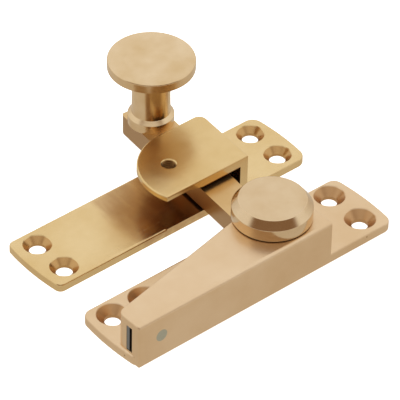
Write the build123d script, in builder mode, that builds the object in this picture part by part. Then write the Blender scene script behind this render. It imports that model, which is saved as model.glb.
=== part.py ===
from build123d import *
import math
import os

# Straight-arm hook-plate fastener for the two meeting rails of a sash window.
# The body plate screws to one rail and carries a swinging arm with a knob. The keep
# plate screws to the other rail, and its hook holds the arm down.
# Millimetres. The origin is the centre of the body plate's underside, +X runs along
# the rails, +Y points from the body to the keep and +Z points away from the rails.

# ---------------------------------------------------------------- driving dimensions

# Body plate
plate_length = 93.4
plate_width = 24.4
plate_thickness = 3.3
plate_corner_radius = 3.0
end_bow = 0.9  # how far each end of a plate bulges at its middle
plate_edge_round = 0.8  # upper edges, softened by polishing
plate_lower_round = 0.6

# Screw holes in the body plate
body_hole_diameter = 4.7
body_hole_rim_diameter = 9.2
right_holes_from_end = 7.4
right_holes_spacing = 12.8
right_holes_offset = 0.55  # the pair sits this far behind the plate's middle line
left_holes_from_end = 7.1
left_holes_spacing = 11.0
left_holes_from_back = 5.8
countersink_angle = 90.0

# Housing that stands on the body plate
housing_left_inset = 0.9  # from the plate's end to the housing's narrow end
housing_narrow_width = 8.8
housing_wide_width = 22.2
housing_right_of_pivot = 11.2
housing_roof = 4.25
housing_front_right_radius = 2.6
housing_back_left_radius = 2.4
housing_back_right_radius = 3.0
housing_front_round = 1.2  # the top edge along the front, rounder than the others
housing_top_round = 0.5

# Pivot
pivot_x = 11.8
pivot_y = 0.5
journal_diameter = 9.0
square_side = 6.2
pivot_thread_diameter = 5.8
running_clearance = 0.05  # radial, between the turning stem and the casting
face_gap = 0.25  # between flat faces that slide past each other
cap_diameter = 22.7
cap_height = 6.1
cap_straight_height = 3.7
cap_top_diameter = 19.1
cap_edge_round = 0.3

# Recess under the body plate for the nut that holds the pivot
recess_diameter = 16.0
recess_depth = 2.0
pivot_washer_diameter = 13.0
pivot_washer_thickness = 0.5
nut_across_flats = 9.0
nut_thickness = 1.2

# Arm
arm_width = 9.8  # at the pivot
arm_end_width = 11.4
arm_thickness = 6.45
arm_lean = 6.3  # degrees from +Y towards +X when the arm is closed
arm_swing = 90.0  # degrees from closed to open, anticlockwise from above
arm_offset = 1.5  # from the pivot's axis to the bar's middle line, towards the open side
arm_side_gap = 0.35
arm_past_knob = 8.3  # from the knob's axis to the arm's end
arm_end_radius = 3.2
arm_end_top_round = 2.2  # where the end's upper edge is rounded over
hub_half_width = 7.4
hub_corner_radius = 8.5  # from the pivot to the rounded corners of the hub
knob_park_inset = 0.6  # the parked knob's axis lies this far inside the plate's end

# Knob
collar_diameter = 13.4
collar_height = 2.8
collar_chamfer = 1.1
neck_diameter = 11.3
neck_waist_diameter = 11.0
knob_height = 22.2
head_diameter = 25.2
head_rim_thickness = 2.9
head_underside_drop = 1.4
head_top_round = 0.5
head_lower_round = 1.8
knob_bore_depth = 9.0
knob_screw_diameter = 5.0
knob_screw_clearance = 0.3
knob_screw_head_diameter = 8.4
driver_slot_width = 1.2
driver_slot_depth = 1.1

# Leaf spring on edge inside the front wall, and the pin that holds it
leaf_thickness = 1.15
leaf_height = 8.2
leaf_bottom = 3.9
leaf_front_gap = 1.15  # room in front of the leaf for it to bend into
leaf_past_pivot = 5.0
leaf_fit = 0.1
pin_diameter = 3.7
pin_from_left = 7.9
pin_height = 7.7
pin_past_leaf = 1.4

# Keep plate
keep_length = 91.6
keep_width = 23.45
keep_thickness = 2.6
keep_offset_x = 1.95  # the keep's centre sits this far towards +X
keep_left_corner_radius = 1.9
keep_right_corner_radius = 3.4
knob_standoff = 9.95  # from the keep's far edge to the knob's axis
keep_hole_spacing_x = 77.7
keep_hole_spacing_y = 11.9
keep_hole_diameter = 4.8
keep_hole_rim_diameter = 8.3

# Hook on the keep plate
hook_wall = 2.7
hook_top_thickness = 2.95
hook_clearance = 1.25  # above the arm
hook_wall_past_arm = 11.35  # in front, from the arm's middle line to the wall's outer face
hook_wall_flare = 1.9  # how much further out that face stands at the back
hook_end_radius = 16.7
hook_end_past_arm = 19.2  # from that line in front to the tip of the rounded end
hook_back_inset = 0.7
hook_back_right_radius = 2.5
hook_edge_round = 0.45
hook_front_left_radius = 1.3
hook_lip_thickness = 1.6  # at the open side, past the lead-in ramp
ramp_start_past_arm = 4.95  # in front, from the arm's middle line to the ramp's foot
ramp_run = 4.6
ramp_lean = 30.0  # degrees from +Y towards -X of the ramp's foot, seen from above
lock_hole_diameter = 4.0
lock_hole_chamfer = 0.3
lock_hole_from_front = 11.0
lock_hole_from_right = 19.7  # from the hook's outer face in front

# ---------------------------------------------------------------- derived places

plate_back = plate_width / 2
plate_front = -plate_back
plate_left = -plate_length / 2
plate_right = plate_length / 2

arm_bottom = plate_thickness + face_gap
arm_top = arm_bottom + arm_thickness
chamber_height = arm_thickness + 2 * face_gap
roof_bottom = plate_thickness + chamber_height
housing_top = roof_bottom + housing_roof

housing_left = plate_left + housing_left_inset
housing_right = pivot_x + housing_right_of_pivot
housing_back_at_left = plate_front + housing_narrow_width
housing_back_at_right = plate_front + housing_wide_width

closed_angle = 90.0 - arm_lean
open_angle = closed_angle + arm_swing
knob_park_x = plate_left + knob_park_inset
open_turn = math.radians(open_angle)
arm_length = (knob_park_x - pivot_x + arm_offset * math.sin(open_turn)) / math.cos(open_turn)


def from_pivot(distance, angle, side=0.0):
    """A point at a distance from the pivot, and to the left of that direction by side."""
    turn = math.radians(angle)
    return (
        pivot_x + distance * math.cos(turn) - side * math.sin(turn),
        pivot_y + distance * math.sin(turn) + side * math.cos(turn),
    )


knob_x, knob_y = from_pivot(arm_length, closed_angle, arm_offset)
keep_back = knob_y - knob_standoff
keep_front = keep_back - keep_width
keep_y = (keep_front + keep_back) / 2

leaf_back = pivot_y - hub_half_width - leaf_fit
leaf_front = leaf_back - leaf_thickness
leaf_slot_front = leaf_front - leaf_front_gap
leaf_left = housing_left + leaf_fit
leaf_right = pivot_x + leaf_past_pivot
pin_x = housing_left + pin_from_left


def plate_outline(length, width, left_radius, right_radius):
    """A rectangle with bowed ends and rounded corners, for both plates."""
    half_length = length / 2 - end_bow
    half_width = width / 2
    with BuildSketch() as outline:
        with BuildLine():
            Line((-half_length, -half_width), (half_length, -half_width))
            ThreePointArc(
                (half_length, -half_width), (length / 2, 0), (half_length, half_width)
            )
            Line((half_length, half_width), (-half_length, half_width))
            ThreePointArc(
                (-half_length, half_width), (-length / 2, 0), (-half_length, -half_width)
            )
        make_face()
        fillet(outline.vertices().group_by(Axis.X)[0], left_radius)
        fillet(outline.vertices().group_by(Axis.X)[-1], right_radius)
    return outline.sketch


os.makedirs("parts", exist_ok=True)

# ---------------------------------------------------------------- body casting

with BuildPart() as body_casting:
    # The plate
    with BuildSketch(Plane.XY):
        add(plate_outline(plate_length, plate_width, plate_corner_radius, plate_corner_radius))
    extrude(amount=plate_thickness)
    fillet(body_casting.faces().sort_by(Axis.Z)[-1].edges(), plate_edge_round)

    # The housing, flush with the plate's front and tapered in plan along its back
    with BuildSketch(Plane.XY) as housing_plan:
        with BuildLine():
            Polyline(
                (housing_left, plate_front),
                (housing_right, plate_front),
                (housing_right, housing_back_at_right),
                (housing_left, housing_back_at_left),
                close=True,
            )
        make_face()
        left_corners = housing_plan.vertices().group_by(Axis.X)[0].sort_by(Axis.Y)
        right_corners = housing_plan.vertices().group_by(Axis.X)[-1].sort_by(Axis.Y)
        fillet(left_corners[-1], housing_back_left_radius)
        fillet(right_corners[0], housing_front_right_radius)
        fillet(right_corners[-1], housing_back_right_radius)
    extrude(amount=housing_top)
    top_edges = body_casting.faces().sort_by(Axis.Z)[-1].edges()
    fillet(top_edges.sort_by(Axis.Y)[0], housing_front_round)
    fillet(body_casting.faces().sort_by(Axis.Z)[-1].edges().sort_by(Axis.Y)[1:], housing_top_round)
    fillet(body_casting.faces().sort_by(Axis.Z)[0].edges(), plate_lower_round)

    # The chamber that the hub turns in, open at the back for the arm's whole swing
    half_slot = arm_end_width / 2 + arm_side_gap
    beyond = plate_length
    with BuildSketch(Plane.XY.offset(plate_thickness)):
        with Locations((pivot_x, pivot_y)):
            Circle(hub_corner_radius + arm_side_gap)
        with BuildLine():
            Polyline(
                from_pivot(0, closed_angle, arm_offset - half_slot),
                from_pivot(beyond, closed_angle, arm_offset - half_slot),
                from_pivot(2 * beyond, (closed_angle + open_angle) / 2),
                from_pivot(beyond, open_angle, arm_offset + half_slot),
                from_pivot(0, open_angle, arm_offset + half_slot),
                close=True,
            )
        make_face()
    extrude(amount=chamber_height, mode=Mode.SUBTRACT)

    # The long slot for the leaf spring, open at the narrow end
    with BuildSketch(Plane.XY.offset(leaf_bottom - leaf_fit)):
        with BuildLine():
            Polyline(
                (plate_left - end_bow, leaf_slot_front),
                (leaf_right + leaf_fit, leaf_slot_front),
                (leaf_right + leaf_fit, leaf_back),
                (plate_left - end_bow, leaf_back),
                close=True,
            )
        make_face()
    extrude(amount=leaf_height + 2 * leaf_fit, mode=Mode.SUBTRACT)

    # The bore for the pin, from the front face past the leaf
    with BuildSketch(Plane.XZ.offset(-plate_front)):
        with Locations((pin_x, pin_height)):
            Circle(pin_diameter / 2)
    extrude(
        amount=-(leaf_back - plate_front + pin_past_leaf),
        mode=Mode.SUBTRACT,
    )

    # The pivot's bearings in the roof and the floor, and the recess underneath
    with Locations(Plane.XY.offset(housing_top)):
        with Locations((pivot_x, pivot_y)):
            Hole(journal_diameter / 2 + running_clearance, depth=housing_roof)
    with Locations(Plane.XY.offset(plate_thickness)):
        with Locations((pivot_x, pivot_y)):
            Hole(pivot_thread_diameter / 2 + running_clearance, depth=plate_thickness)
    with BuildSketch(Plane.XY):
        with Locations((pivot_x, pivot_y)):
            Circle(recess_diameter / 2)
    extrude(amount=recess_depth, mode=Mode.SUBTRACT)

    # Countersunk screw holes: a pair across the right end, a pair along the back left
    right_hole_x = plate_right - right_holes_from_end
    left_hole_y = plate_back - left_holes_from_back
    screw_places = [
        (right_hole_x, right_holes_offset - right_holes_spacing / 2),
        (right_hole_x, right_holes_offset + right_holes_spacing / 2),
        (plate_left + left_holes_from_end, left_hole_y),
        (plate_left + left_holes_from_end + left_holes_spacing, left_hole_y),
    ]
    with Locations(Plane.XY.offset(plate_thickness)):
        with Locations(*screw_places):
            CounterSinkHole(
                body_hole_diameter / 2,
                body_hole_rim_diameter / 2,
                depth=plate_thickness,
                counter_sink_angle=countersink_angle,
            )

body_casting.part.label = "body_casting"
export_step(body_casting.part, "parts/body_casting.step")

# ---------------------------------------------------------------- leaf spring and pin

with BuildPart() as leaf_spring:
    with BuildSketch(Plane.XY.offset(leaf_bottom)):
        with BuildLine():
            Polyline(
                (leaf_left, leaf_front),
                (leaf_right, leaf_front),
                (leaf_right, leaf_back),
                (leaf_left, leaf_back),
                close=True,
            )
        make_face()
    extrude(amount=leaf_height)
    with BuildSketch(Plane.XZ.offset(-leaf_front)):
        with Locations((pin_x, pin_height)):
            Circle(pin_diameter / 2)
    extrude(amount=-leaf_thickness, mode=Mode.SUBTRACT)

leaf_spring.part.label = "leaf_spring"
export_step(leaf_spring.part, "parts/leaf_spring.step")

with BuildPart() as spring_pin:
    with BuildSketch(Plane.XZ.offset(-plate_front)):
        with Locations((pin_x, pin_height)):
            Circle(pin_diameter / 2)
    extrude(amount=-(leaf_back - plate_front + pin_past_leaf))

spring_pin.part.label = "spring_pin"
export_step(spring_pin.part, "parts/spring_pin.step")

# ---------------------------------------------------------------- arm

with BuildPart() as arm:
    # The square hub with rounded corners, for the leaf spring to press on
    with BuildSketch(Plane.XY.offset(arm_bottom)):
        with Locations((pivot_x, pivot_y)):
            Rectangle(2 * hub_half_width, 2 * hub_half_width)
            Circle(hub_corner_radius, mode=Mode.INTERSECT)
    extrude(amount=arm_thickness)

    # The straight bar, with two rounded corners past the knob
    arm_end = arm_length + arm_past_knob
    with BuildSketch(Plane.XY.offset(arm_bottom)) as bar_plan:
        with BuildLine():
            Polyline(
                from_pivot(0, closed_angle, arm_offset - arm_width / 2),
                from_pivot(arm_end, closed_angle, arm_offset - arm_end_width / 2),
                from_pivot(arm_end, closed_angle, arm_offset + arm_end_width / 2),
                from_pivot(0, closed_angle, arm_offset + arm_width / 2),
                close=True,
            )
        make_face()
        fillet(bar_plan.vertices().sort_by(Axis.Y)[-2:], arm_end_radius)
    extrude(amount=arm_thickness)

    # The end's upper edge, rounded over
    arm_turn = math.radians(closed_angle)
    arm_side = Plane(
        origin=(pivot_x, pivot_y, arm_bottom),
        x_dir=(math.cos(arm_turn), math.sin(arm_turn), 0),
        z_dir=(math.sin(arm_turn), -math.cos(arm_turn), 0),
    )
    with BuildSketch(arm_side) as arm_profile:
        with BuildLine():
            Polyline(
                (-arm_end, 0),
                (arm_end, 0),
                (arm_end, arm_thickness),
                (-arm_end, arm_thickness),
                close=True,
            )
        make_face()
        upper_end = arm_profile.vertices().group_by(Axis.Y)[-1].sort_by(Axis.X)[-1]
        fillet(upper_end, arm_end_top_round)
    extrude(amount=arm_end, both=True, mode=Mode.INTERSECT)

    # The square hole that the pivot's stem drives
    with BuildSketch(Plane.XY.offset(arm_bottom)):
        with Locations((pivot_x, pivot_y)):
            Rectangle(square_side, square_side)
    extrude(amount=arm_thickness, mode=Mode.SUBTRACT)

    # The knob's screw comes up through the boss, with its head sunk underneath
    with Locations(Plane(origin=(knob_x, knob_y, arm_bottom), z_dir=(0, 0, -1))):
        CounterSinkHole(
            knob_screw_diameter / 2 + knob_screw_clearance,
            knob_screw_head_diameter / 2,
            depth=arm_thickness,
            counter_sink_angle=countersink_angle,
        )

arm.part.label = "arm"
export_step(arm.part, "parts/arm.step")

# ---------------------------------------------------------------- pivot cap and stem

cap_bottom = housing_top + face_gap
washer_top = recess_depth - face_gap / 2
nut_top = washer_top - pivot_washer_thickness
stem_end = nut_top - nut_thickness

with BuildPart() as pivot_cap:
    # The turned cap and the journal that runs in the roof
    with BuildSketch(Plane.XZ.offset(-pivot_y)):
        with BuildLine():
            Polyline(
                (pivot_x, roof_bottom - face_gap),
                (pivot_x + journal_diameter / 2, roof_bottom - face_gap),
                (pivot_x + journal_diameter / 2, cap_bottom),
                (pivot_x + cap_diameter / 2, cap_bottom),
                (pivot_x + cap_diameter / 2, cap_bottom + cap_straight_height),
                (pivot_x + cap_top_diameter / 2, cap_bottom + cap_height),
                (pivot_x, cap_bottom + cap_height),
                close=True,
            )
        make_face()
    revolve(axis=Axis((pivot_x, pivot_y, 0), (0, 0, 1)))
    turned_rims = pivot_cap.edges().filter_by(GeomType.CIRCLE).filter_by(
        lambda edge: edge.radius > journal_diameter / 2 + cap_edge_round
    )
    fillet(turned_rims, cap_edge_round)

    # The square through the arm's hub
    with BuildSketch(Plane.XY.offset(arm_bottom)):
        with Locations((pivot_x, pivot_y)):
            Rectangle(square_side, square_side)
    extrude(amount=arm_thickness)

    # The threaded end through the floor
    with BuildSketch(Plane.XY.offset(stem_end)):
        with Locations((pivot_x, pivot_y)):
            Circle(pivot_thread_diameter / 2)
    extrude(amount=arm_bottom - stem_end)

pivot_cap.part.label = "pivot_cap"
export_step(pivot_cap.part, "parts/pivot_cap.step")

with BuildPart() as pivot_washer:
    with BuildSketch(Plane.XY.offset(nut_top)):
        with Locations((pivot_x, pivot_y)):
            Circle(pivot_washer_diameter / 2)
            Circle(pivot_thread_diameter / 2, mode=Mode.SUBTRACT)
    extrude(amount=pivot_washer_thickness)

pivot_washer.part.label = "pivot_washer"
export_step(pivot_washer.part, "parts/pivot_washer.step")

with BuildPart() as pivot_nut:
    with BuildSketch(Plane.XY.offset(stem_end)):
        with Locations((pivot_x, pivot_y)):
            RegularPolygon(nut_across_flats / 2, 6, major_radius=False)
            Circle(pivot_thread_diameter / 2, mode=Mode.SUBTRACT)
    extrude(amount=nut_thickness)

pivot_nut.part.label = "pivot_nut"
export_step(pivot_nut.part, "parts/pivot_nut.step")

# ---------------------------------------------------------------- knob and its screw

knob_axis = Axis((knob_x, knob_y, 0), (0, 0, 1))
knob_top = arm_top + knob_height
collar_top = arm_top + collar_height + collar_chamfer
head_bottom = knob_top - head_rim_thickness - head_underside_drop
collar_radius = collar_diameter / 2
neck_radius = neck_diameter / 2
head_radius = head_diameter / 2

with BuildPart() as knob:
    with BuildSketch(Plane.XZ.offset(-knob_y)) as knob_profile:
        with BuildLine():
            Polyline(
                (knob_x + neck_radius, head_bottom),
                (knob_x + head_radius, knob_top - head_rim_thickness),
                (knob_x + head_radius, knob_top),
                (knob_x, knob_top),
                (knob_x, arm_top),
                (knob_x + collar_radius, arm_top),
                (knob_x + collar_radius, arm_top + collar_height),
                (knob_x + neck_radius, collar_top),
            )
            ThreePointArc(
                (knob_x + neck_radius, collar_top),
                (knob_x + neck_waist_diameter / 2, (collar_top + head_bottom) / 2),
                (knob_x + neck_radius, head_bottom),
            )
        make_face()
        lower_rim, upper_rim = knob_profile.vertices().group_by(Axis.X)[-1].sort_by(Axis.Y)
        fillet(upper_rim, head_top_round)
        fillet(lower_rim, head_lower_round)
    revolve(axis=knob_axis)
    with BuildSketch(Plane.XY.offset(arm_top)):
        with Locations((knob_x, knob_y)):
            Circle(knob_screw_diameter / 2)
    extrude(amount=knob_bore_depth, mode=Mode.SUBTRACT)

knob.part.label = "knob"
export_step(knob.part, "parts/knob.step")

screw_head_radius = knob_screw_head_diameter / 2
screw_radius = knob_screw_diameter / 2
screw_head_height = (screw_head_radius - screw_radius) / math.tan(
    math.radians(countersink_angle / 2)
)

with BuildPart() as knob_screw:
    with BuildSketch(Plane.XZ.offset(-knob_y)):
        with BuildLine():
            Polyline(
                (knob_x, arm_bottom),
                (knob_x + screw_head_radius, arm_bottom),
                (knob_x + screw_radius, arm_bottom + screw_head_height),
                (knob_x + screw_radius, arm_top + knob_bore_depth - face_gap),
                (knob_x, arm_top + knob_bore_depth - face_gap),
                close=True,
            )
        make_face()
    revolve(axis=knob_axis)
    with BuildSketch(Plane.XY.offset(arm_bottom)):
        with Locations((knob_x, knob_y)):
            Rectangle(knob_screw_head_diameter, driver_slot_width)
    extrude(amount=driver_slot_depth, mode=Mode.SUBTRACT)

knob_screw.part.label = "knob_screw"
export_step(knob_screw.part, "parts/knob_screw.step")

# ---------------------------------------------------------------- keep casting

hook_bottom = arm_top + hook_clearance
hook_top = hook_bottom + hook_top_thickness
lean = math.radians(arm_lean)
arm_at_hook = pivot_x + (keep_front - pivot_y) * math.tan(lean) - arm_offset / math.cos(lean)
hook_right = arm_at_hook + hook_wall_past_arm
hook_left = arm_at_hook - hook_end_past_arm
hook_back = keep_back - hook_back_inset
hook_end_x = hook_left + hook_end_radius
hook_end_y = hook_back - hook_end_radius
hook_front_left = hook_end_x - math.sqrt(
    hook_end_radius**2 - (hook_end_y - keep_front) ** 2
)

with BuildPart() as keep_casting:
    # The plate
    with BuildSketch(Plane.XY):
        with Locations((keep_offset_x, keep_y)):
            add(
                plate_outline(
                    keep_length, keep_width, keep_left_corner_radius, keep_right_corner_radius
                )
            )
    extrude(amount=keep_thickness)
    fillet(keep_casting.faces().sort_by(Axis.Z)[-1].edges(), plate_edge_round)

    # The hook's block, rounded towards its open end
    with BuildSketch(Plane.XY) as hook_plan:
        with BuildLine():
            Polyline(
                (hook_front_left, keep_front),
                (hook_right, keep_front),
                (hook_right + hook_wall_flare, hook_back),
                (hook_end_x, hook_back),
            )
            ThreePointArc(
                (hook_end_x, hook_back),
                (hook_end_x - hook_end_radius * math.sqrt(0.5),
                 hook_end_y + hook_end_radius * math.sqrt(0.5)),
                (hook_front_left, keep_front),
            )
        make_face()
        back_right = hook_plan.vertices().group_by(Axis.X)[-1].sort_by(Axis.Y)[-1]
        front_left = hook_plan.vertices().group_by(Axis.Y)[0].sort_by(Axis.X)[0]
        fillet(back_right, hook_back_right_radius)
        fillet(front_left, hook_front_left_radius)
    extrude(amount=hook_top)
    fillet(keep_casting.faces().sort_by(Axis.Z)[-1].edges(), hook_edge_round)

    # The channel that the arm swings into
    channel_length = hook_right - hook_wall - hook_left + hook_end_radius
    with BuildSketch(Plane.XY.offset(keep_thickness)):
        with Locations((hook_right - hook_wall - channel_length / 2, keep_y)):
            Rectangle(channel_length, 2 * keep_width)
    extrude(amount=hook_bottom - keep_thickness, mode=Mode.SUBTRACT)

    # The ramp under the hook's open side that leads the arm in
    ramp_turn = math.radians(ramp_lean)
    ramp_foot = Plane(
        origin=(arm_at_hook - ramp_start_past_arm, keep_front, hook_bottom),
        x_dir=(-math.cos(ramp_turn), -math.sin(ramp_turn), 0),
        z_dir=(-math.sin(ramp_turn), math.cos(ramp_turn), 0),
    )
    lip_rise = hook_top_thickness - hook_lip_thickness
    with BuildSketch(ramp_foot):
        with BuildLine():
            Polyline(
                (0, 0),
                (ramp_run, lip_rise),
                (keep_length, lip_rise),
                (keep_length, 0),
                close=True,
            )
        make_face()
    extrude(amount=2 * keep_width, both=True, mode=Mode.SUBTRACT)

    # The tapped hole for a locking screw beside the arm
    lock_hole_y = keep_front + lock_hole_from_front
    lock_hole_x = hook_right - lock_hole_from_right
    with Locations(Plane.XY.offset(hook_top)):
        with Locations((lock_hole_x, lock_hole_y)):
            CounterSinkHole(
                lock_hole_diameter / 2,
                lock_hole_diameter / 2 + lock_hole_chamfer,
                depth=hook_top_thickness,
                counter_sink_angle=countersink_angle,
            )

    # Countersunk screw holes near the four corners
    with Locations(Plane.XY.offset(keep_thickness)):
        with Locations((keep_offset_x, keep_y)):
            with GridLocations(keep_hole_spacing_x, keep_hole_spacing_y, 2, 2):
                CounterSinkHole(
                    keep_hole_diameter / 2,
                    keep_hole_rim_diameter / 2,
                    depth=keep_thickness,
                    counter_sink_angle=countersink_angle,
                )

keep_casting.part.label = "keep_casting"
export_step(keep_casting.part, "parts/keep_casting.step")
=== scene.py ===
"""A straight-arm hook-plate fastener for a sash window, in satin brass, closed.

The body plate stands in front with its tapered housing, the keep plate behind it, and
the arm runs from the pivot, under the keep's hook, to the knob. All lengths in metres.
"""

import math

import bmesh
import bpy
from mathutils import Matrix, Vector


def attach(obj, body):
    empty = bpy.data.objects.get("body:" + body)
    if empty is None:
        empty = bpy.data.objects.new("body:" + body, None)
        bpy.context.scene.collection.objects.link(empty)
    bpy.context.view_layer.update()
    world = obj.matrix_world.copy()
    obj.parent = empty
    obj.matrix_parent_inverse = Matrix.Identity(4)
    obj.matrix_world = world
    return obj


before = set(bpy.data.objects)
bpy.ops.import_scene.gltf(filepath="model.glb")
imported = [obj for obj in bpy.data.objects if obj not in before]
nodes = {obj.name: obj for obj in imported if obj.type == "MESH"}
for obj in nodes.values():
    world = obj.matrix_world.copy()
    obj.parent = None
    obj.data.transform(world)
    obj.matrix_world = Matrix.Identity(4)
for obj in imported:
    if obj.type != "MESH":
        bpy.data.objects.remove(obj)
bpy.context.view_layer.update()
scene = bpy.context.scene
scene.view_settings.view_transform = "Standard"

# ---------------------------------------------------------------- camera
# A long lens a metre away, looking down on the fastener from its narrow end, with the
# camera turned a degree about its own axis.

camera_azimuth = math.radians(-41.066)
camera_elevation = math.radians(39.675)
camera_roll = math.radians(1.316)
camera_place = Vector((-0.48337, -0.53763, 0.62602))

camera_back = Vector(
    (
        math.sin(camera_azimuth) * math.cos(camera_elevation),
        -math.cos(camera_azimuth) * math.cos(camera_elevation),
        math.sin(camera_elevation),
    )
)
camera_level = Vector((0, 0, 1)).cross(camera_back).normalized()
camera_turn = Matrix(
    (camera_level, camera_back.cross(camera_level), camera_back)
).transposed() @ Matrix.Rotation(camera_roll, 3, "Z")
camera = bpy.data.objects.new("camera", bpy.data.cameras.new("camera"))
camera.data.lens = 313.19
camera.data.sensor_width = 36
camera.data.clip_end = 20
camera.matrix_world = Matrix.Translation(camera_place) @ camera_turn.to_4x4()
scene.collection.objects.link(camera)
scene.camera = camera

# ---------------------------------------------------------------- studio
# A white table that stays out of the metal's reflections, and an even white tent that
# is greyer below the table and open to a dim room behind the camera.


def linear(hex_colour):
    """An sRGB hex colour as linear red, green, blue and alpha."""
    channels = [int(hex_colour[i : i + 2], 16) / 255 for i in (1, 3, 5)]
    return [
        c / 12.92 if c <= 0.04045 else ((c + 0.055) / 1.055) ** 2.4 for c in channels
    ] + [1.0]


def put(tree, kind, inputs, **settings):
    """Adds a node with its settings, and sets its inputs to values or links them."""
    node = tree.nodes.new(kind)
    for setting, value in settings.items():
        setattr(node, setting, value)
    for socket, value in inputs.items():
        if isinstance(value, bpy.types.NodeSocket):
            tree.links.new(value, node.inputs[socket])
        else:
            node.inputs[socket].default_value = value
    return node


def card(name, middle, facing, width, height):
    """A flat sheet of the studio, turned to face a point."""
    sheet = bmesh.new()
    bmesh.ops.create_grid(sheet, x_segments=1, y_segments=1, size=0.5)
    bmesh.ops.scale(sheet, verts=sheet.verts, vec=(width, height, 1))
    turn = (Vector(facing) - Vector(middle)).to_track_quat("Z", "Y").to_matrix().to_4x4()
    bmesh.ops.transform(
        sheet, verts=sheet.verts, matrix=Matrix.Translation(middle) @ turn
    )
    mesh = bpy.data.meshes.new(name)
    sheet.to_mesh(mesh)
    sheet.free()
    piece = bpy.data.objects.new(name, mesh)
    scene.collection.objects.link(piece)
    return piece


table_gap = 0.0001  # keeps the table from sharing a plane with the undersides
table_side = 12
table = card("table", (0, 0, -table_gap), (0, 0, 1), table_side, table_side)
table_paint = bpy.data.materials.new("white table")
table_paint.use_nodes = True
table_shader = table_paint.node_tree.nodes["Principled BSDF"]
table_shader.inputs["Base Color"].default_value = linear("#f4f4f4")
table_shader.inputs["Roughness"].default_value = 0.9
table_shader.inputs["Specular IOR Level"].default_value = 0.1
table_shader.inputs["Emission Color"].default_value = linear("#ffffff")
table_shader.inputs["Emission Strength"].default_value = 1.0
table.data.materials.append(table_paint)
table.visible_glossy = False

sky = bpy.data.worlds.new("studio")
sky.use_nodes = True
scene.world = sky
sky_tree = sky.node_tree
sky_direction = put(sky_tree, "ShaderNodeTexCoord", {}).outputs["Generated"]
sky_height = put(sky_tree, "ShaderNodeSeparateXYZ", {0: sky_direction}).outputs["Z"]
sky_blend = put(
    sky_tree,
    "ShaderNodeMapRange",
    {"Value": sky_height, "From Min": -0.25, "From Max": 0.2},
)
sky_tone = put(
    sky_tree,
    "ShaderNodeMix",
    {0: sky_blend.outputs[0], 6: linear("#d2cabe"), 7: linear("#f6f6f6")},
    data_type="RGBA",
)
# The unlit side of the room, behind the camera and a little to its right
room_turn = math.radians(4)
room_azimuth = camera_azimuth + room_turn
room_side = put(
    sky_tree,
    "ShaderNodeVectorMath",
    {0: sky_direction, 1: (math.sin(room_azimuth), -math.cos(room_azimuth), 0)},
    operation="DOT_PRODUCT",
).outputs["Value"]
room_width = put(
    sky_tree,
    "ShaderNodeMapRange",
    {"Value": room_side, "From Min": 0.26, "From Max": 0.48},
    interpolation_type="SMOOTHSTEP",
)
room_foot = put(
    sky_tree,
    "ShaderNodeMapRange",
    {"Value": sky_height, "From Min": 0.06, "From Max": 0.20},
    interpolation_type="SMOOTHSTEP",
)
room_ceiling = put(
    sky_tree,
    "ShaderNodeMapRange",
    {"Value": sky_height, "From Min": 0.76, "From Max": 0.64},
    interpolation_type="SMOOTHSTEP",
)
room_band = put(
    sky_tree,
    "ShaderNodeMath",
    {0: room_foot.outputs[0], 1: room_ceiling.outputs[0]},
    operation="MULTIPLY",
)
room_mask = put(
    sky_tree,
    "ShaderNodeMath",
    {0: room_band.outputs[0], 1: room_width.outputs[0]},
    operation="MULTIPLY",
)
room_tone = put(
    sky_tree,
    "ShaderNodeMix",
    {0: room_mask.outputs[0], 6: sky_tone.outputs[2], 7: linear("#8c7058")},
    data_type="RGBA",
)
sky_light = sky_tree.nodes["Background"]
sky_tree.links.new(room_tone.outputs[2], sky_light.inputs["Color"])
sky_light.inputs["Strength"].default_value = 1.0

# ---------------------------------------------------------------- body casting
# The body plate and its tapered housing are one sand casting in yellow brass, milled
# underneath and ground and satin-polished along its length everywhere else.


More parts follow.
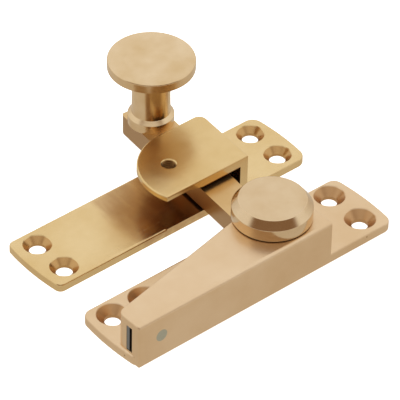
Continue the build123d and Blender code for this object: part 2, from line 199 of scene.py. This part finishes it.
def worked_brass(name, light_tone, dark_tone, roughness, grain):
    """A ground and polished brass finish, with marks of the grain's size along X, Y, Z."""
    patch_width = 0.024
    swell_width = 0.010
    swell_depth = 0.00012
    marks_depth = 0.000004
    finish = bpy.data.materials.new(name)
    finish.use_nodes = True
    tree = finish.node_tree
    shader = tree.nodes["Principled BSDF"]
    shader.inputs["Metallic"].default_value = 1.0
    place = put(tree, "ShaderNodeTexCoord", {}).outputs["Object"]
    # Slow changes of tone, a few centimetres across, as polishing leaves them
    cloud = put(
        tree,
        "ShaderNodeTexNoise",
        {"Vector": place, "Scale": 1 / patch_width, "Detail": 4.0, "Roughness": 0.6},
    )
    cloud_share = put(
        tree,
        "ShaderNodeMapRange",
        {"Value": cloud.outputs[0], "From Min": 0.35, "From Max": 0.68},
    )
    tone = put(
        tree,
        "ShaderNodeMix",
        {0: cloud_share.outputs[0], 6: linear(light_tone), 7: linear(dark_tone)},
        data_type="RGBA",
    )
    tree.links.new(tone.outputs[2], shader.inputs["Base Color"])
    # Polishing marks, drawn a little coarser than real ones so that they show
    marks_place = put(
        tree,
        "ShaderNodeMapping",
        {"Vector": place, "Scale": [1 / size for size in grain]},
    )
    marks = put(
        tree,
        "ShaderNodeTexNoise",
        {"Vector": marks_place.outputs[0], "Scale": 1.0, "Detail": 3.0, "Roughness": 0.7},
    )
    gloss = put(
        tree,
        "ShaderNodeMapRange",
        {
            "Value": marks.outputs[0],
            "From Min": 0.25,
            "From Max": 0.75,
            "To Min": roughness - 0.03,
            "To Max": roughness + 0.04,
        },
    )
    tree.links.new(gloss.outputs[0], shader.inputs["Roughness"])
    # Slight waviness of hand-ground faces under the marks
    swell = put(
        tree,
        "ShaderNodeTexNoise",
        {"Vector": place, "Scale": 1 / swell_width, "Detail": 1.0},
    )
    swell_bump = put(
        tree, "ShaderNodeBump", {"Height": swell.outputs[0], "Distance": swell_depth}
    )
    marks_bump = put(
        tree,
        "ShaderNodeBump",
        {
            "Height": marks.outputs[0],
            "Distance": marks_depth,
            "Normal": swell_bump.outputs[0],
        },
    )
    tree.links.new(marks_bump.outputs[0], shader.inputs["Normal"])
    return finish


def tint(finish, mask, hex_colour):
    """Lays a tone over a finish where the mask is 1."""
    tree = finish.node_tree
    base = tree.nodes["Principled BSDF"].inputs["Base Color"]
    mix = put(
        tree,
        "ShaderNodeMix",
        {0: mask, 6: base.links[0].from_socket, 7: linear(hex_colour)},
        data_type="RGBA",
    )
    tree.links.new(mix.outputs[2], base)


def specks(finish, spacing, size):
    """A mask of scattered casting pits, about spacing apart and up to size across."""
    tree = finish.node_tree
    place = put(tree, "ShaderNodeTexCoord", {}).outputs["Object"]
    cells = put(
        tree, "ShaderNodeTexVoronoi", {"Vector": place, "Scale": 1 / spacing}
    )
    return put(
        tree,
        "ShaderNodeMapRange",
        {
            "Value": cells.outputs["Distance"],
            "From Min": 0.5 * size / spacing,
            "From Max": 0.3 * size / spacing,
        },
    ).outputs[0]


def zone(finish, low, high, edge):
    """A mask that is 1 inside a box, fading over edge with streaks along Y."""
    streak_width = 0.002
    streak_length = 0.009
    tree = finish.node_tree
    place = put(tree, "ShaderNodeTexCoord", {}).outputs["Object"]
    streaks = put(
        tree,
        "ShaderNodeMapping",
        {
            "Vector": place,
            "Scale": (1 / streak_width, 1 / streak_length, 1 / streak_width),
        },
    )
    wobble = put(
        tree,
        "ShaderNodeTexNoise",
        {"Vector": streaks.outputs[0], "Scale": 1.0, "Detail": 1.0},
    )
    nudge = put(
        tree,
        "ShaderNodeVectorMath",
        {0: wobble.outputs["Color"], 1: (edge, edge, edge)},
        operation="MULTIPLY",
    )
    moved = put(
        tree, "ShaderNodeVectorMath", {0: place, 1: nudge.outputs[0]}, operation="ADD"
    )
    parts = put(tree, "ShaderNodeSeparateXYZ", {0: moved.outputs[0]})
    mask = None
    for axis in range(3):
        for limit, way in ((low[axis], 1), (high[axis], -1)):
            side = put(
                tree,
                "ShaderNodeMapRange",
                {
                    "Value": parts.outputs[axis],
                    "From Min": limit - way * edge / 2 + edge / 2,
                    "From Max": limit + way * edge / 2 + edge / 2,
                },
                interpolation_type="SMOOTHSTEP",
            ).outputs[0]
            if mask is not None:
                side = put(
                    tree, "ShaderNodeMath", {0: mask, 1: side}, operation="MULTIPLY"
                ).outputs[0]
            mask = side
    return mask


def countersink(finish, hole_x, hole_y, reach, plate_top, tone):
    """Tints the machined cone of a screw hole a darker brown than the plate around it."""
    low = (hole_x - reach, hole_y - reach, -0.001)
    high = (hole_x + reach, hole_y + reach, plate_top)
    tint(finish, zone(finish, low, high, 0.0001), tone)


def dress(node, finish):
    """Gives a CAD node its finish in its one material slot."""
    mesh = nodes[node].data
    mesh.materials.clear()
    mesh.materials.append(finish)


pit_tone = "#a98358"
lengthwise_marks = (0.006, 0.0004, 0.0004)
# A soft, pinkish satin with a few casting pits left in it
body_finish = worked_brass(
    "satin-polished cast brass, body", "#ecd0ab", "#e2c298", 0.32, lengthwise_marks
)
tint(body_finish, specks(body_finish, 0.009, 0.0006), pit_tone)
right_holes_x = 0.0393
left_holes_y = 0.0064
for hole_x, hole_y in (
    (right_holes_x, -0.00585),
    (right_holes_x, 0.00695),
    (-0.0396, left_holes_y),
    (-0.0286, left_holes_y),
):
    countersink(body_finish, hole_x, hole_y, 0.0052, 0.0031, "#c79d6f")
dress("body_casting", body_finish)

# ---------------------------------------------------------------- keep casting
# The keep plate and its square hook are one casting too, from a yellower melt, with a
# tapped hole through the hook's top for a locking screw.


def turned_brass(name, light_tone, dark_tone, centre, polished, satin):
    """A lathe-turned finish about a vertical axis, satin on the faces that look up."""
    patch_width = 0.011
    ring_width = 0.0005
    ring_depth = 0.000004
    finish = bpy.data.materials.new(name)
    finish.use_nodes = True
    tree = finish.node_tree
    shader = tree.nodes["Principled BSDF"]
    shader.inputs["Metallic"].default_value = 1.0
    place = put(tree, "ShaderNodeTexCoord", {}).outputs["Object"]
    cloud = put(
        tree,
        "ShaderNodeTexNoise",
        {"Vector": place, "Scale": 1 / patch_width, "Detail": 3.0, "Roughness": 0.55},
    )
    cloud_share = put(
        tree,
        "ShaderNodeMapRange",
        {"Value": cloud.outputs[0], "From Min": 0.35, "From Max": 0.68},
    )
    tone = put(
        tree,
        "ShaderNodeMix",
        {0: cloud_share.outputs[0], 6: linear(light_tone), 7: linear(dark_tone)},
        data_type="RGBA",
    )
    tree.links.new(tone.outputs[2], shader.inputs["Base Color"])
    # Fine rings left by the tool, by distance from the axis and height
    from_axis = put(
        tree,
        "ShaderNodeVectorMath",
        {0: place, 1: (centre[0], centre[1], 0)},
        operation="SUBTRACT",
    )
    parts = put(tree, "ShaderNodeSeparateXYZ", {0: from_axis.outputs[0]})
    flat = put(
        tree,
        "ShaderNodeCombineXYZ",
        {"X": parts.outputs["X"], "Y": parts.outputs["Y"]},
    )
    reach = put(
        tree, "ShaderNodeVectorMath", {0: flat.outputs[0]}, operation="LENGTH"
    ).outputs["Value"]
    ring_place = put(tree, "ShaderNodeCombineXYZ", {"X": reach, "Y": parts.outputs["Z"]})
    rings = put(
        tree,
        "ShaderNodeTexNoise",
        {"Vector": ring_place.outputs[0], "Scale": 1 / ring_width, "Detail": 2.0},
    )
    upward = put(tree, "ShaderNodeNewGeometry", {}).outputs["Normal"]
    lift = put(tree, "ShaderNodeSeparateXYZ", {0: upward}).outputs["Z"]
    gloss = put(
        tree,
        "ShaderNodeMapRange",
        {
            "Value": lift,
            "From Min": 0.90,
            "From Max": 0.98,
            "To Min": polished,
            "To Max": satin,
        },
    )
    tree.links.new(gloss.outputs[0], shader.inputs["Roughness"])
    bump = put(
        tree, "ShaderNodeBump", {"Height": rings.outputs[0], "Distance": ring_depth}
    )
    tree.links.new(bump.outputs[0], shader.inputs["Normal"])
    return finish


# A yellower and glossier satin than the body's
keep_finish = worked_brass(
    "satin-polished cast brass, keep", "#ecd09c", "#e0bf84", 0.24, lengthwise_marks
)
tint(keep_finish, specks(keep_finish, 0.011, 0.0005), pit_tone)
for hole_x in (-0.0369, 0.0408):
    for hole_y in (0.030775, 0.042675):
        countersink(keep_finish, hole_x, hole_y, 0.0047, 0.0024, "#caa068")
# Painted shade: the keep plate around the hook is tinted brown, with streaks, where the
# hook's shadow falls on it
hook_shadow_on_keep = zone(
    keep_finish, (-0.0135, 0.0235, 0.0005), (0.0215, 0.0490, 0.0034), 0.0045
)
tint(keep_finish, hook_shadow_on_keep, "#c8a274")
# Painted shade under the hook's top, tinted a darker brown
under_hook_shade = zone(
    keep_finish, (-0.0080, 0.0235, 0.0030), (0.0216, 0.0490, 0.0115), 0.0002
)
tint(keep_finish, under_hook_shade, "#b08458")
# Painted shade inside the lock hole, tinted dark brown
lock_hole_shade = zone(
    keep_finish, (0.0024, 0.0338, 0.0100), (0.0069, 0.0382, 0.0139), 0.0001
)
tint(keep_finish, lock_hole_shade, "#7d5833")
dress("keep_casting", keep_finish)

# The turns of the lock hole's thread, cut with a tap: one ridge spun up the bore
thread_centre = (0.0046457, 0.036)
thread_foot = 0.01128
thread_turns = 3.7
thread_pitch = 0.0007
thread_steps = 48  # for each turn
thread_root = 0.00199
thread_crest = 0.00162
thread = bmesh.new()
ridge = [
    thread.verts.new((thread_centre[0] + reach, thread_centre[1], thread_foot + rise))
    for reach, rise in (
        (thread_root, 0.0),
        (thread_crest, 0.00022),
        (thread_crest, 0.0003),
        (thread_root, 0.00052),
    )
]
ridge_edges = [thread.edges.new(pair) for pair in zip(ridge, ridge[1:])]
bmesh.ops.spin(
    thread,
    geom=ridge + ridge_edges,
    cent=(thread_centre[0], thread_centre[1], 0),
    axis=(0, 0, 1),
    dvec=(0, 0, thread_pitch / thread_steps),
    angle=thread_turns * 2 * math.pi,
    steps=round(thread_turns * thread_steps),
)
bmesh.ops.recalc_face_normals(thread, faces=thread.faces)
thread_mesh = bpy.data.meshes.new("lock_thread")
thread.to_mesh(thread_mesh)
thread.free()
for face in thread_mesh.polygons:
    face.use_smooth = True
lock_thread = bpy.data.objects.new("lock_thread", thread_mesh)
scene.collection.objects.link(lock_thread)
# Painted shade: the thread is coloured darker than the hook around it, for the shade inside
# the bore
thread_finish = turned_brass(
    "tapped brass, painted dark with bore shade", "#9a7344", "#7d5a33", thread_centre, 0.3, 0.35
)
lock_thread.data.materials.append(thread_finish)
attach(lock_thread, "castings")

# ---------------------------------------------------------------- arm
# The arm is a drawn flat brass bar with its hub milled square and its end rounded,
# linished along its length.

# Marks run along the bar, and its sides are tinted darker than its top as painted shade
arm_finish = worked_brass(
    "linished brass bar", "#e8c896", "#d8b27a", 0.30, (0.0004, 0.006, 0.0004)
)
arm_tree = arm_finish.node_tree
arm_normal = put(arm_tree, "ShaderNodeNewGeometry", {}).outputs["Normal"]
arm_lift = put(arm_tree, "ShaderNodeSeparateXYZ", {0: arm_normal}).outputs["Z"]
# Painted shade on the faces that turn away from straight up
arm_side_shade = put(
    arm_tree, "ShaderNodeMapRange", {"Value": arm_lift, "From Min": 0.8, "From Max": 0.3}
)
tint(arm_finish, arm_side_shade.outputs[0], "#b8946a")
dress("arm", arm_finish)

# ---------------------------------------------------------------- knob
# The knob is turned from one brass bar, polished on its neck and satin on top, and
# screwed on from under the arm.

knob_centre = (0.016683, 0.0584)
dress(
    "knob",
    turned_brass(
        "turned and polished brass", "#e9cfa8", "#dcbd8e", knob_centre, 0.22, 0.25
    ),
)

# ---------------------------------------------------------------- pivot cap
# The cap and its stem are one turned piece; the cap's upper edge is faced to a cone.

cap_centre = (0.0118, 0.0005)
dress(
    "pivot_cap",
    turned_brass("turned brass, satin faced", "#e3c9a3", "#d8ba90", cap_centre, 0.16, 0.28),
)

# ---------------------------------------------------------------- steel pieces
# The leaf spring and its pin are plain steel; the screw, washer and nut are zinc plated.


def steel(name, tone, shade_tone, roughness, grain):
    """A plain steel finish with rolling or filing marks."""
    marks_depth = 0.00003
    finish = bpy.data.materials.new(name)
    finish.use_nodes = True
    tree = finish.node_tree
    shader = tree.nodes["Principled BSDF"]
    shader.inputs["Metallic"].default_value = 1.0
    shader.inputs["Roughness"].default_value = roughness
    place = put(tree, "ShaderNodeTexCoord", {}).outputs["Object"]
    marks_place = put(
        tree,
        "ShaderNodeMapping",
        {"Vector": place, "Scale": [1 / size for size in grain]},
    )
    marks = put(
        tree,
        "ShaderNodeTexNoise",
        {"Vector": marks_place.outputs[0], "Scale": 1.0, "Detail": 4.0, "Roughness": 0.7},
    )
    shade = put(
        tree,
        "ShaderNodeMix",
        {0: marks.outputs[0], 6: linear(tone), 7: linear(shade_tone)},
        data_type="RGBA",
    )
    tree.links.new(shade.outputs[2], shader.inputs["Base Color"])
    bump = put(
        tree, "ShaderNodeBump", {"Height": marks.outputs[0], "Distance": marks_depth}
    )
    tree.links.new(bump.outputs[0], shader.inputs["Normal"])
    return finish


# Dark grey, with rolling marks along the strip
leaf_finish = steel(
    "rolled spring steel", "#77797b", "#8f9294", 0.4, (0.004, 0.0003, 0.0003)
)
dress("leaf_spring", leaf_finish)
# Pale and dull, filed flush with the brass around it
pin_finish = steel(
    "filed mild steel", "#c8c8b6", "#a9a998", 0.42, (0.0005, 0.0005, 0.0004)
)
dress("spring_pin", pin_finish)
# Light and a little bluish, smoother than the bare steel
plated = steel("zinc-plated steel", "#b9bcbf", "#a2a5a8", 0.3, (0.001, 0.001, 0.0004))
for plated_node in ("knob_screw", "pivot_washer", "pivot_nut"):
    dress(plated_node, plated)
